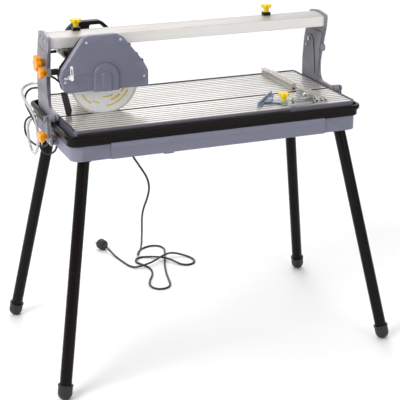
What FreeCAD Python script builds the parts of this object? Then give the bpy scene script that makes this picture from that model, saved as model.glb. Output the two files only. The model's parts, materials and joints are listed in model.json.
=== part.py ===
import FreeCAD, Part
import math
import os

from FreeCAD import Vector

# Tile cutter: a wet saw whose head slides along an overhead rail, on a table with four splayed legs.
# Millimetres, +X along the rail, +Y to the back, +Z up. The origin is on the floor under the table's centre.

# ---------------------------------------------------------------- driving dimensions
TABLE_HALF_X = 420.0
TABLE_HALF_Y = 195.0
TABLE_TOP = 742.0
PLATE_THICK = 14.0
GROOVE_PITCH = 19.0
GROOVE_WIDTH = 3.0
GROOVE_DEPTH = 1.6
RIB_THICK = 5.0
SLOT_Y = -40.0
SLOT_WIDTH = 10.0

FRAME_HALF_X = 424.0
FRAME_HALF_Y = 199.0
FRAME_BOTTOM = 703.0
LEDGE_TOP = TABLE_TOP - PLATE_THICK
LEDGE_BOTTOM = 722.0

LIP_HALF_X = 449.0
LIP_HALF_Y = 212.0
LIP_TOP = 730.0
LIP_WIDTH = 11.0
RIM_BOTTOM = 700.0

TRAY_HALF_X = 434.0
TRAY_HALF_Y = 204.0
TRAY_BOTTOM = 657.0
TRAY_WALL = 3.0
TRAY_FLOOR = 682.0
PANEL_HALF_X = 325.0
RAISED_RIM = 2.0

LEG_RADIUS = 17.0
LEG_BORE = 15.5
LEG_TOP = Vector(391.8, 168.2, 660.0)
FOOT_CENTRE = Vector(506.5, 293.0, 19.5)
FOOT_RADIUS = 20.5

PIVOT_Y = SLOT_Y
PIVOT_Z = 739.0
PIN_RADIUS = 6.0
BOSS_RADIUS = 11.0
LOCK_RADIUS = 47.0
LOCK_ANGLE = -106.0
TILT_RANGE = 45.0
STUD_RADIUS = 4.0

POST_INNER_X = 426.0
POST_OUTER_X = 434.0
POST_PAD = 1.2
LOCK_KNOB_Y = 22.0
LOCK_KNOB_Z = 855.0
CLAMP_KNOB_Y = 56.0
CLAMP_KNOB_Z = 876.0
BRACKET_INNER_X = 451.0
BRACKET_OUTER_X = 455.0
BRACKET_BOLT_Y = (-59.0, -13.0)
BRACKET_BOLT_Z = 675.0
LEVER_INNER_X = 458.5
LEVER_OUTER_X = 461.5

RAIL_FRONT_Y = 10.0
RAIL_BACK_Y = 102.0
RAIL_SLOT = (32.0, 80.0)
RAIL_BOTTOM = 922.0
RAIL_WALL = 3.0
RAIL_SCREWS = ((20.0, 945.5), (56.0, 946.0), (90.0, 945.5))
RAIL_KNOB_X = (-335.0, 258.0)
RAIL_KNOB_Y = 66.0
KNOB_BASE_TOP = 968.0
AXLE_OFFSET = 42.0
AXLE_Z = 932.2
ROLLER_RADIUS = 7.0
ROLLER_SPANS = ((15.0, 29.0), (83.0, 97.0))

HEAD_X = -288.0
BLADE_RADIUS = 100.0
BLADE_Z = 836.0
BLADE_BORE = 12.7
ARBOR_RADIUS = 12.65
MOTOR_RADIUS = 48.0
GUARD_SPLIT_Y = -48.0
GUARD_FRONT_Y = -64.0
GUARD_BACK_Y = -18.0
GUARD_WALL = 2.5
GUARD_BOTTOM = 812.0
GUARD_SCREWS = ((-343.0, 949.0), (-245.0, 951.0), (-178.0, 842.0), (-407.0, 843.0))
FLAP_FRONT_Y = -40.8
FLAP_BACK_Y = -39.2
YOKE_FRONT_Y = 24.0
YOKE_BACK_Y = 112.0
HANDLE_SHIFT_X = -9.0
SWITCH_X = -321.0
SWITCH_Z = 935.0
TAP_X = -393.0
TAP_Z = 856.0

FENCE_X = 306.0
FENCE_HEIGHT = 20.0
FENCE_LIFT = 0.4
STOP_PIVOT = Vector(219.0, -148.0, 0.0)
MITRE_DIRECTION = 49.0
WING_Y = -122.0
WING_Z = 754.4

BOX_X = -150.0
GLAND_Y = 224.0
GLAND_TIP_Z = 626.0
PUMP_BASE = 685.0

MAINS_DIAMETER = 7.0
LEAD_DIAMETER = 6.0
HOSE_DIAMETER = 8.0
CLIP_X = -419.5
CLIP_BACK_Y = 146.0
LEAD_CLIP_Z = 773.0
HOSE_CLIP_Z = 785.0

# ---------------------------------------------------------------- cord routes
# Mains cord: down from its gland behind the tray, then over the floor, where it crosses itself three times.
CORD_LIE_Z = MAINS_DIAMETER / 2
PLUG_RADIUS = 19.0
MAINS_ROUTE = [Vector(*point) for point in [
    (BOX_X, GLAND_Y, GLAND_TIP_Z), (-149, 225, 594), (-139, 228, 552), (-119, 232, 508), (-92, 237, 466),
    (-67, 243, 426), (-57, 251, 386), (-62, 264, 345), (-69, 282, 308), (-66, 308, 266), (-53, 347, 213),
    (-36, 401, 155), (-17, 461, 99), (-4, 518, 55), (6, 564, 20), (14, 600, CORD_LIE_Z),
    (29, 632, CORD_LIE_Z),
    (54, 656, CORD_LIE_Z), (88, 668, CORD_LIE_Z), (118, 656, CORD_LIE_Z), (127, 623, CORD_LIE_Z),
    (115, 587, CORD_LIE_Z), (101, 547, CORD_LIE_Z), (84, 505, CORD_LIE_Z), (69, 460, CORD_LIE_Z),
    (56, 412, CORD_LIE_Z), (45, 361, CORD_LIE_Z), (36, 314, CORD_LIE_Z), (17, 292, CORD_LIE_Z),
    (-11, 291, CORD_LIE_Z), (-31, 311, CORD_LIE_Z), (-32, 343, CORD_LIE_Z), (-16, 378, CORD_LIE_Z),
    (5, 412, CORD_LIE_Z), (17, 450, CORD_LIE_Z), (15, 484, CORD_LIE_Z), (3, 511, CORD_LIE_Z),
    (-12, 537, CORD_LIE_Z), (-7, 563, CORD_LIE_Z), (15, 579, CORD_LIE_Z), (42, 574, CORD_LIE_Z), (63, 556, 7),
    (80, 535, 11.5), (103, 509, 11.5), (120, 484, 6), (131, 461, 4.5), (153, 449, CORD_LIE_Z),
    (178, 457, CORD_LIE_Z), (190, 481, CORD_LIE_Z), (186, 511, CORD_LIE_Z), (167, 536, 6), (142, 549, 12.5),
    (112, 542, 19.5), (72, 518, 19.5), (36, 499, 13), (-2, 487, 11.5), (-28, 493, 5), (-45, 516, CORD_LIE_Z),
    (-52, 553, CORD_LIE_Z), (-59, 591, CORD_LIE_Z), (-65, 624, 5), (-71, 652, 12),
    (-78, 680, PLUG_RADIUS + 0.2)]]

# Loops outside the left post: two leads and the hose, between the arch, the tray's wall and its underside.
MOTOR_LEAD_ROUTE = [Vector(*point) for point in [
    (CLIP_X, CLIP_BACK_Y + 0.4, LEAD_CLIP_Z), (-420.5, 164, 774), (-430, 180, 773.5), (-447, 190, 769),
    (-461, 188, 756), (-467, 176, 740), (-467, 158, 725), (-462, 138, 709), (-456, 118, 691),
    (-451, 103, 670), (-449, 94, 648), (-448, 89, 630), (-448, 86, 612), (-435, 83, 598),
    (-417, 79, 598), (-404, 76, 611), (-403.5, 74, 632), (-404, 73, 656), (-405, 73, TRAY_FLOOR)]]
PUMP_LEAD_ROUTE = [Vector(*point) for point in [
    (-TRAY_HALF_X, 171, 691), (-450, 172, 690.5), (-460, 176, 685.5), (-466, 183, 676),
    (-467, 193, 662), (-466, 202, 646), (-463, 206, 627), (-454, 198, 609), (-443, 183, 599),
    (-430, 166, 595), (-418, 150, 600), (-411, 138, 614), (-409, 129, 634), (-409, 124, 658),
    (-410, 121, TRAY_FLOOR)]]
HOSE_ROUTE = [Vector(*point) for point in [
    (CLIP_X, CLIP_BACK_Y + 0.8, HOSE_CLIP_Z), (-420, 161.6, 787), (-427.6, 175.7, 788),
    (-441.5, 184, 787), (-457.5, 184.3, 783), (-471.5, 176.5, 777), (-479, 163, 769), (-479, 144, 758),
    (-475, 125, 746), (-468, 108, 731), (-461, 94, 712), (-458, 85, 690), (-457, 80, 666),
    (-457, 80, 642), (-458, 86, 619), (-459, 100, 600), (-460, 120, 589), (-461, 142, 591),
    (-462, 159, 604), (-463, 169, 623), (-465, 168, 644), (-466.5, 161, 661), (-464.5, 155, 676),
    (-456.5, 153.3, 688), (-444, 152.6, 695.5), (-429, 152.5, 696)]]
HOSE_END = HOSE_ROUTE[-1]

# Lead from the left post to the motor, between two of its ribs.
HEAD_LEAD_ROUTE = [Vector(*point) for point in [
    (-423.6, 90, 829), (-411, 89.5, 828), (-399, 85, 822), (-388, 77, 812), (-376, 69, 802),
    (-362, 63, 795), (-348, 60.5, 793), (-336, 60, 797.5), (-326.5, 60, 806.5)]]

CORD_END = MAINS_ROUTE[-1]
CORD_BEFORE_END = MAINS_ROUTE[-2]


# ---------------------------------------------------------------- helpers
def box(low_x, high_x, low_y, high_y, low_z, high_z):
    return Part.makeBox(high_x - low_x, high_y - low_y, high_z - low_z, Vector(low_x, low_y, low_z))


def rod_x(y, z, radius, low, high):
    return Part.makeCylinder(radius, high - low, Vector(low, y, z), Vector(1, 0, 0))


def rod_y(x, z, radius, low, high):
    return Part.makeCylinder(radius, high - low, Vector(x, low, z), Vector(0, 1, 0))


def rod_z(x, y, radius, low, high):
    return Part.makeCylinder(radius, high - low, Vector(x, y, low), Vector(0, 0, 1))


def rounded_face(corners, place):
    """Face of a polygon with rounded corners. A corner is (a, b, radius); place maps (a, b) to space."""
    arcs = []
    ends = []
    count = len(corners)
    for index in range(count):
        previous = Vector(corners[index - 1][0], corners[index - 1][1], 0)
        here = Vector(corners[index][0], corners[index][1], 0)
        following = Vector(corners[(index + 1) % count][0], corners[(index + 1) % count][1], 0)
        radius = corners[index][2]
        to_previous = (previous - here).normalize()
        to_next = (following - here).normalize()
        half = to_previous.getAngle(to_next) / 2
        setback = radius / math.tan(half)
        first = here + to_previous * setback
        last = here + to_next * setback
        if radius > 0:
            centre = here + (to_previous + to_next).normalize() * (radius / math.sin(half))
            middle = centre + (here - centre).normalize() * radius
            arcs.append([Part.Arc(place(first), place(middle), place(last)).toShape()])
        else:
            arcs.append([])
        ends.append((first, last))
    edges = []
    for index in range(count):
        start = ends[index][1]
        stop = ends[(index + 1) % count][0]
        edges += arcs[index]
        edges.append(Part.LineSegment(place(start), place(stop)).toShape())
    return Part.Face(Part.Wire(edges))


def plate_x(corners, low_x, high_x):
    """Prism along X from an outline in (y, z)."""
    face = rounded_face(corners, lambda p: Vector(low_x, p.x, p.y))
    return face.extrude(Vector(high_x - low_x, 0, 0))


def plate_y(corners, low_y, high_y):
    """Prism along Y from an outline in (x, z)."""
    face = rounded_face(corners, lambda p: Vector(p.x, low_y, p.y))
    return face.extrude(Vector(0, high_y - low_y, 0))


def plate_z(corners, low_z, high_z):
    """Prism along Z from an outline in (x, y)."""
    face = rounded_face(corners, lambda p: Vector(p.x, p.y, low_z))
    return face.extrude(Vector(0, 0, high_z - low_z))


def rounded_slab(half_x, half_y, radius, low_z, high_z):
    corners = [(-half_x, -half_y, radius), (half_x, -half_y, radius),
               (half_x, half_y, radius), (-half_x, half_y, radius)]
    return plate_z(corners, low_z, high_z)


def ring(outer, inner, low_z, high_z):
    """Rectangular ring; outer and inner are (half x, half y, corner radius)."""
    return rounded_slab(*outer, low_z, high_z).cut(rounded_slab(*inner, low_z - 1, high_z + 1))


def fused(shapes):
    result = shapes[0]
    for shape in shapes[1:]:
        result = result.fuse(shape)
    return result.removeSplitter()


def mirrored(shape):
    """The same piece on the other side of the table's middle plane."""
    return shape.mirror(Vector(0, 0, 0), Vector(1, 0, 0))


def rounded_edges(shape, radius, keep):
    """Fillet the edges for which keep(edge) is true."""
    return shape.makeFillet(radius, [edge for edge in shape.Edges if keep(edge)])


def on_circle(radius, degrees):
    angle = math.radians(degrees)
    return radius * math.cos(angle), radius * math.sin(angle)


def save(name, shapes):
    """Write one node; several separate solids share it as a group."""
    solids = shapes if isinstance(shapes, list) else [shapes]
    shape = solids[0] if len(solids) == 1 else Part.makeCompound(solids)
    assert shape.isValid(), name
    shape.exportStep("parts/" + name + ".step")
    print(name, len(shape.Solids), round(shape.Volume / 1000.0, 1), "cm3")


# ---------------------------------------------------------------- stand
def leg_frame(side_x, side_y):
    """Foot centre and unit vector up the leg at one corner."""
    foot = Vector(FOOT_CENTRE.x * side_x, FOOT_CENTRE.y * side_y, FOOT_CENTRE.z)
    top = Vector(LEG_TOP.x * side_x, LEG_TOP.y * side_y, LEG_TOP.z)
    return foot, (top - foot).normalize()


def leg(side_x, side_y):
    foot, up = leg_frame(side_x, side_y)
    length = (674.0 - foot.z) / up.z
    start = foot + up * 5
    tube = Part.makeCylinder(LEG_RADIUS, length - 5, start, up)
    return tube.cut(Part.makeCylinder(LEG_BORE, length + 20, foot - up * 5, up))


def rubber_foot(side_x, side_y):
    foot, up = leg_frame(side_x, side_y)
    ball = Part.makeSphere(FOOT_RADIUS, foot)
    sleeve = Part.makeCylinder(FOOT_RADIUS, 24, foot, up)
    collar = Part.makeCylinder(FOOT_RADIUS + 1.2, 4, foot + up * 20, up)
    body = ball.fuse(sleeve).fuse(collar)
    body = body.cut(Part.makeCylinder(LEG_RADIUS + 0.05, 30, foot + up * 5, up))
    floor = box(foot.x - 40, foot.x + 40, foot.y - 40, foot.y + 40, -20, 0)
    return body.cut(floor)


def underframe():
    pieces = []
    for side in (-1, 1):
        pieces.append(box(375 * side - 16, 375 * side + 16, -188, 188, 661, TRAY_FLOOR))
        pieces.append(box(-375, 375, 145 * side - 12, 145 * side + 12, 661, TRAY_FLOOR))
    cuts = []
    for side_x in (-1, 1):
        for side_y in (-1, 1):
            foot, up = leg_frame(side_x, side_y)
            start = foot + up * ((648.0 - foot.z) / up.z)
            reach = 32.0 / up.z
            pieces.append(Part.makeCylinder(LEG_RADIUS + 4, reach, start, up))
            cuts.append(Part.makeCylinder(LEG_RADIUS + 0.1, reach + 60, start - up * 20, up))
    frame = fused(pieces)
    for cut in cuts:
        frame = frame.cut(cut)
    return frame.cut(box(-460, 460, -230, 230, TRAY_FLOOR, 760))


def water_tray():
    tray = ring((TRAY_HALF_X, TRAY_HALF_Y, 30), (TRAY_HALF_X - TRAY_WALL, TRAY_HALF_Y - TRAY_WALL, 27),
                TRAY_BOTTOM, RIM_BOTTOM)
    floor = rounded_slab(TRAY_HALF_X - 1, TRAY_HALF_Y - 1, 29, TRAY_FLOOR, TRAY_FLOOR + TRAY_WALL)
    panel = tray_panel()
    tray = fused([tray, floor, panel, panel.mirror(Vector(0, 0, 0), Vector(0, 1, 0))])
    for side in (-1, 1):
        for y in BRACKET_BOLT_Y:
            low, high = sorted((side * (TRAY_HALF_X - 6), side * (TRAY_HALF_X + 6)))
            tray = tray.cut(rod_x(y, BRACKET_BOLT_Z, 3.1, low, high))
    hose_hole = rod_x(HOSE_END.y, HOSE_END.z, HOSE_DIAMETER / 2 + 0.1, -TRAY_HALF_X - 5, -TRAY_HALF_X + 10)
    return tray.cut(hose_hole)


def tray_panel():
    """Raised panel along the tray's front, bevelled at the top, with a small skid under it."""
    face = TRAY_HALF_Y + 4.5
    outline = [(-TRAY_HALF_Y + 1, TRAY_BOTTOM - 1.5, 0), (-face, TRAY_BOTTOM - 1.5, 3), (-face, 688, 3),
               (-205.7, 702.4, 0), (-205.5, RIM_BOTTOM - 0.2, 0), (-TRAY_HALF_Y + 1, RIM_BOTTOM - 0.2, 0)]
    skid = rounded_edges(box(-172, -143, -face + 3, -face + 16, TRAY_BOTTOM - 5, TRAY_BOTTOM + 1), 2,
                         lambda edge: edge.BoundBox.ZLength > 3)
    return plate_x(outline, -PANEL_HALF_X, PANEL_HALF_X).fuse(skid)


def rim_frame():
    inner_x = LIP_HALF_X - LIP_WIDTH
    inner_y = LIP_HALF_Y - LIP_WIDTH
    lip = ring((LIP_HALF_X, LIP_HALF_Y, 34), (inner_x, inner_y, 23), 717, LIP_TOP)
    lip = lip.makeFillet(4.5, [edge for edge in lip.Edges if is_outer_lip_edge(edge)])
    band = ring((442.0, 207.5, 30), (439.0, 204.5, 27), RIM_BOTTOM, 718)
    web = ring((LIP_HALF_X - 3, LIP_HALF_Y - 3, 31), (439.0, 204.5, 27), 716, 719)
    flange = ring((442.0, 207.5, 30), (418.0, 192.0, 12), RIM_BOTTOM, FRAME_BOTTOM)
    rim = fused([lip, band, web, flange])
    for side in (-1, 1):
        low, high = sorted((side * 205.4, side * 209.0))
        rim = rim.cut(box(-PANEL_HALF_X - 2, PANEL_HALF_X + 2, low, high, RIM_BOTTOM - 1, FRAME_BOTTOM))
    return rim


def is_outer_lip_edge(edge):
    """Edges of the lip's outer outline, on its top and bottom faces."""
    bounds = edge.BoundBox
    flat = bounds.ZLength < 0.01
    point = edge.valueAt((edge.FirstParameter + edge.LastParameter) / 2)
    corner_x = max(abs(point.x) - (LIP_HALF_X - 34), 0)
    corner_y = max(abs(point.y) - (LIP_HALF_Y - 34), 0)
    return flat and abs(math.hypot(corner_x, corner_y) - 34) < 0.5


def table_frame():
    wall = ring((FRAME_HALF_X, FRAME_HALF_Y, 10), (TABLE_HALF_X + 0.4, TABLE_HALF_Y + 0.4, 0.4),
                FRAME_BOTTOM, TABLE_TOP + RAISED_RIM)
    wall = wall.cut(box(-TABLE_HALF_X + 3, TABLE_HALF_X - 3, -FRAME_HALF_Y - 1, -TABLE_HALF_Y + 1,
                        TABLE_TOP - 0.8, TABLE_TOP + 10))
    ledge = ring((TABLE_HALF_X + 1, TABLE_HALF_Y + 1, 6), (404, 179, 4), LEDGE_BOTTOM, LEDGE_TOP)
    beams = [box(x - 9, x + 9, -185, 185, 708, LEDGE_TOP) for x in (-140, 140)]
    return fused([wall, ledge] + beams)


def table_plate(low_y, high_y):
    """Extruded plate: grooves along X on top, open channels between ribs below."""
    plate = box(-TABLE_HALF_X, TABLE_HALF_X, low_y, high_y, LEDGE_TOP, TABLE_TOP)
    count = round((high_y - low_y) / GROOVE_PITCH)
    pitch = (high_y - low_y) / count
    cuts = []
    for index in range(1, count):
        centre = low_y + index * pitch
        cuts.append(box(-TABLE_HALF_X - 1, TABLE_HALF_X + 1, centre - GROOVE_WIDTH / 2,
                        centre + GROOVE_WIDTH / 2, TABLE_TOP - GROOVE_DEPTH, TABLE_TOP + 1))
    channels = count // 3
    width = (high_y - low_y - RIB_THICK) / channels
    for index in range(channels):
        start = low_y + RIB_THICK + index * width
        cuts.append(box(-TABLE_HALF_X + 18, TABLE_HALF_X - 18, start, start + width - RIB_THICK,
                        LEDGE_TOP - 1, TABLE_TOP - 5))
    for cut in cuts:
        plate = plate.cut(cut)
    return plate


# ------------------------------------------------ pivot brackets: left side, mirrored for the right
def pivot_bracket():
    low_y = PIVOT_Y - BOSS_RADIUS
    high_y = PIVOT_Y + BOSS_RADIUS
    strap = plate_x([(-68, 665, 8), (-4, 665, 8), (-4, 706, 14), (high_y, PIVOT_Z, 0), (low_y, PIVOT_Z, 0),
                     (-68, 706, 14)], -BRACKET_OUTER_X, -BRACKET_INNER_X)
    boss = rod_x(PIVOT_Y, PIVOT_Z, BOSS_RADIUS, -BRACKET_OUTER_X, -436.6)
    over_lip = box(-BRACKET_OUTER_X, -436.6, low_y, high_y, LIP_TOP + 1.5, PIVOT_Z)
    saddle = boss.common(box(-460, -430, low_y - 1, high_y + 1, LIP_TOP + 1.5, 760)).fuse(over_lip)
    bosses = [rod_x(y, BRACKET_BOLT_Z, 7, -BRACKET_INNER_X - 1, -TRAY_HALF_X) for y in BRACKET_BOLT_Y]
    bracket = fused([strap, saddle] + bosses)
    for y in BRACKET_BOLT_Y:
        bracket = bracket.cut(rod_x(y, BRACKET_BOLT_Z, 3.1, -460, -430))
    bracket = bracket.cut(rod_x(PIVOT_Y, PIVOT_Z, PIN_RADIUS + 0.05, -460, -430))
    return bracket.cut(arc_slot(-460, -447))


def arc_slot(low_x, high_x):
    """Cutter for the curved slot that the lock stud follows as the arch tilts."""
    margin = 5.0
    half_width = STUD_RADIUS + 0.35
    turn = TILT_RANGE + 2 * margin
    outer = Part.makeCylinder(LOCK_RADIUS + half_width, high_x - low_x, Vector(low_x, PIVOT_Y, PIVOT_Z),
                              Vector(1, 0, 0))
    inner = Part.makeCylinder(LOCK_RADIUS - half_width, high_x - low_x, Vector(low_x, PIVOT_Y, PIVOT_Z),
                              Vector(1, 0, 0))
    reach = 80.0
    start_y, start_z = on_circle(reach, LOCK_ANGLE - margin)
    end_y, end_z = on_circle(reach, LOCK_ANGLE - margin + turn)
    wedge = Part.Face(Part.makePolygon([Vector(low_x, PIVOT_Y, PIVOT_Z),
                                        Vector(low_x, PIVOT_Y + start_y, PIVOT_Z + start_z),
                                        Vector(low_x, PIVOT_Y + end_y, PIVOT_Z + end_z),
                                        Vector(low_x, PIVOT_Y, PIVOT_Z)]))
    return outer.cut(inner).common(wedge.extrude(Vector(high_x - low_x, 0, 0)))


def hex_bolt_x(y, z, across, head_low, head_high, shank_radius, shank_low, shank_high):
    corners = []
    for index in range(6):
        offset_y, offset_z = on_circle(across / math.sqrt(3), 60 * index)
        corners.append((y + offset_y, z + offset_z, 0))
    head = plate_x(corners, head_low, head_high)
    return fused([head, rod_x(y, z, shank_radius, shank_low, shank_high)])


def bracket_bolts():
    bolts = []
    for y in BRACKET_BOLT_Y:
        bolt = hex_bolt_x(y, BRACKET_BOLT_Z, 8.5, -458.0, -BRACKET_OUTER_X, 3.0, -456.0, -428.5)
        nut = rod_x(y, BRACKET_BOLT_Z, 5.5, -431, -428)
        bolt = fused([bolt, nut])
        bolts += [bolt, mirrored(bolt)]
    return bolts


# ---------------------------------------------------------------- arch: posts, rail, pivots
def post():
    """Left post, a flat casting whose foot reaches forward and down to the tilt pivot."""
    outline = [(144, 712, 8), (147, 795, 200), (138, 870, 200), (117, 930, 60), (106, 958, 12),
               (56, 966, 150), (2, 957, 9), (4, 924, 60), (14, 890, 120), (27, 852, 120), (36, 808, 60),
               (34, 772, 40), (22, 752, 20), (-24, 750, 30), (-51, 750, 10.9), (-51, 728, 10.9), (-10, 728, 20),
               (36, 712, 20)]
    body = plate_x(outline, -POST_OUTER_X, -POST_INNER_X)
    ear = rod_x(LOCK_KNOB_Y, LOCK_KNOB_Z, 12, -POST_OUTER_X, -POST_INNER_X)
    rib_outline = [(38, 762, 3), (60, 762, 8), (68, 850, 40), (98, 886, 5), (98, 902, 4), (16, 902, 4),
                   (30, 852, 30)]
    rib = plate_x(rib_outline, -POST_INNER_X - 0.5, -POST_INNER_X + 2.0)
    pad = plate_x([(40, 800, 6), (140, 800, 6), (115, 915, 6), (14, 908, 6)], -POST_OUTER_X - POST_PAD,
                  -POST_OUTER_X + 0.5)
    body = fused([body, ear, rib, pad])
    body = body.cut(rod_x(PIVOT_Y, PIVOT_Z, PIN_RADIUS + 0.02, -440, -420))
    for y, z in RAIL_SCREWS:
        body = body.cut(rod_x(y, z, 2.5, -440, -420))
    return body


def left_post():
    body = post()
    for y, z in ((LOCK_KNOB_Y, LOCK_KNOB_Z), (CLAMP_KNOB_Y, CLAMP_KNOB_Z)):
        body = body.cut(rod_x(y, z, STUD_RADIUS + 0.05, -440, -420))
    return body


def tilt_lever():
    """Left lever with its welded pivot pin."""
    stud_y, stud_z = lock_stud_place()
    top = rod_x(PIVOT_Y, PIVOT_Z, 10, -LEVER_OUTER_X, -LEVER_INNER_X)
    end = rod_x(stud_y, stud_z, 9, -LEVER_OUTER_X, -LEVER_INNER_X)
    web = plate_x([(stud_y - 8.2, stud_z + 2, 0), (stud_y + 8.5, stud_z - 2.5, 0),
                   (PIVOT_Y + 9.3, PIVOT_Z - 3, 0), (PIVOT_Y - 9.3, PIVOT_Z + 3, 0)],
                  -LEVER_OUTER_X, -LEVER_INNER_X)
    pin = rod_x(PIVOT_Y, PIVOT_Z, PIN_RADIUS, -464, -POST_INNER_X + 1)
    head = rod_x(PIVOT_Y, PIVOT_Z, 8.5, -465.5, -LEVER_OUTER_X + 0.5)
    lever = fused([top, end, web, pin, head])
    return lever.cut(rod_x(stud_y, stud_z, STUD_RADIUS + 0.05, -470, -450))


def lock_stud_place():
    offset_y, offset_z = on_circle(LOCK_RADIUS, LOCK_ANGLE)
    return PIVOT_Y + offset_y, PIVOT_Z + offset_z


def rail_profile(inset):
    """Closed outline of the rail section in (y, z), moved inwards by inset."""
    low_y = RAIL_FRONT_Y + inset
    high_y = RAIL_BACK_Y - inset
    low_z = RAIL_BOTTOM + inset
    corner = max(2.5 - inset, 0.5)
    return [(low_y, low_z, corner), (high_y, low_z, corner), (high_y, 951 - inset, corner),
            (80, 957.5 - inset, 40), (56, 959 - inset, 60), (32, 957.5 - inset, 40), (low_y, 952.5 - inset, corner)]


def rail():
    length = POST_INNER_X
    hollow = plate_x(rail_profile(RAIL_WALL), -length - 1, length + 1)
    body = plate_x(rail_profile(0), -length, length).cut(hollow)
    body = body.cut(box(-length - 1, length + 1, *RAIL_SLOT, RAIL_BOTTOM - 1, RAIL_BOTTOM + RAIL_WALL + 1))
    bosses = []
    for y, z in RAIL_SCREWS:
        bosses.append(rod_x(y, z, 4.5, -length, length))
        bosses.append(box(-length, length, y - 1.5, y + 1.5, z, 960.0))
    body = fused([body] + bosses).common(plate_x(rail_profile(0), -length, length))
    for y, z in RAIL_SCREWS:
        body = body.cut(rod_x(y, z, 2.5, -length - 1, length + 1))
    for x in RAIL_KNOB_X:
        body = body.cut(rod_z(x, RAIL_KNOB_Y, STUD_RADIUS + 0.05, 950, 970))
    return body


def post_screws():
    """Rail screws in both posts, and the two screw heads on each post's inner face."""
    screws = []
    for y, z in RAIL_SCREWS:
        head = rod_x(y, z, 4.6, -POST_OUTER_X - 3.0, -POST_OUTER_X)
        screw = fused([head, rod_x(y, z, 2.45, -POST_OUTER_X - 1, -410)])
        screw = screw.cut(box(-POST_OUTER_X - 4, -POST_OUTER_X - 1.6, y - 0.6, y + 0.6, z - 3, z + 3))
        screws += [screw, mirrored(screw)]
    for y, z, radius in ((104.0, 867.0, 6.0), (117.0, 846.0, 4.0)):
        head = rod_x(y, z, radius, -POST_INNER_X, -POST_INNER_X + 3.5)
        head = head.cut(rod_x(y, z, radius * 0.45, -POST_INNER_X + 1.5, -POST_INNER_X + 5))
        screws += [head, mirrored(head)]
    return screws


def knob_base(x):
    """Threaded boss on the rail's crown under a rail knob."""
    block = rounded_edges(box(x - 11, x + 11, RAIL_KNOB_Y - 11, RAIL_KNOB_Y + 11, 950, KNOB_BASE_TOP), 3,
                          lambda edge: edge.BoundBox.ZLength > 10)
    block = block.cut(plate_x(rail_profile(0), x - 20, x + 20))
    return block.cut(rod_z(x, RAIL_KNOB_Y, STUD_RADIUS + 0.05, 940, 975))


def end_buffers():
    """Rubber buffers on the inner face of the left post."""
    spacer = rod_x(LOCK_KNOB_Y, LOCK_KNOB_Z, 9, -POST_INNER_X, -404.0).cut(left_post())
    spacer = spacer.cut(rod_x(LOCK_KNOB_Y, LOCK_KNOB_Z, STUD_RADIUS + 0.1, -430, -400))
    stop = rod_x(62, 903.5, 4, -POST_INNER_X, -396.0).cut(left_post())
    return [spacer, stop]


def hose_clip():
    """Clip on the inner face of the left post, open to the back, for the motor lead and the water hose."""
    block = rounded_edges(box(-POST_INNER_X, -412, CLIP_BACK_Y - 24, CLIP_BACK_Y, 764, 794), 3,
                          lambda edge: edge.BoundBox.YLength > 10)
    block = block.cut(rod_y(CLIP_X, LEAD_CLIP_Z, LEAD_DIAMETER / 2 - 0.5, CLIP_BACK_Y - 15, CLIP_BACK_Y + 1))
    return block.cut(rod_y(CLIP_X, HOSE_CLIP_Z, HOSE_DIAMETER / 2 - 1, CLIP_BACK_Y - 15, CLIP_BACK_Y + 1))


# ---------------------------------------------------------------- knobs
def star_knob(diameter, thickness, neck, lobes):
    """Lobed hand knob on +Z: neck cone from z = 0, head above it."""
    corners = []
    for index in range(lobes):
        middle = 360.0 * index / lobes + 90
        for turn in (-15, 15):
            x, y = on_circle(diameter * 0.52, middle + turn)
            corners.append((x, y, diameter * 0.1))
        x, y = on_circle(diameter * 0.35, middle + 180.0 / lobes)
        corners.append((x, y, diameter * 0.1))
    head = plate_z(corners, neck, neck + thickness)
    head = rounded_edges(head, 1.8, lambda edge: edge.BoundBox.ZLength < 0.01)
    cone = Part.makeCone(diameter * 0.21, diameter * 0.31, neck + 1.5, Vector(0, 0, 0), Vector(0, 0, 1))
    return head.fuse(cone).removeSplitter()


def knob_along_x(y, z, start_x, stud_end_x, diameter, thickness, neck, lobes):
    """Knob outside the left post or lever, its axis along X, with its stud running inwards."""
    knob = star_knob(diameter, thickness, neck, lobes)
    knob.rotate(Vector(0, 0, 0), Vector(0, 1, 0), -90)
    knob.translate(Vector(start_x, y, z))
    return fused([knob, rod_x(y, z, STUD_RADIUS, start_x - 5, stud_end_x)])


def tilt_knob():
    stud_y, stud_z = lock_stud_place()
    knob = knob_along_x(stud_y, stud_z, -LEVER_OUTER_X - 0.3, -447.5, 34, 12, 12, 5)
    washer = rod_x(stud_y, stud_z, 7.5, -450.5, -448.0)
    return fused([knob, washer])


def rail_knob(x):
    knob = star_knob(32, 9, 14, 5)
    knob.translate(Vector(x, RAIL_KNOB_Y, KNOB_BASE_TOP + 0.3))
    return fused([knob, rod_z(x, RAIL_KNOB_Y, STUD_RADIUS, 952.0, KNOB_BASE_TOP + 5)])


# ---------------------------------------------------------------- sliding head
def trolley():
    body = box(HEAD_X - 60, HEAD_X + 60, 35, 77, 927.5, 939)
    neck = box(HEAD_X - 50, HEAD_X + 50, 38, 74, 915, 928)
    axles = [rod_y(HEAD_X + side * AXLE_OFFSET, AXLE_Z, 3, 14.5, 97.5) for side in (-1, 1)]
    return fused([body, neck] + axles)


def rollers(side):
    x = HEAD_X + side * AXLE_OFFSET
    pair = []
    for low, high in ROLLER_SPANS:
        wheel = rod_y(x, AXLE_Z, ROLLER_RADIUS, low, high)
        pair.append(wheel.cut(rod_y(x, AXLE_Z, 3.05, low - 1, high + 1)))
    return pair


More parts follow.
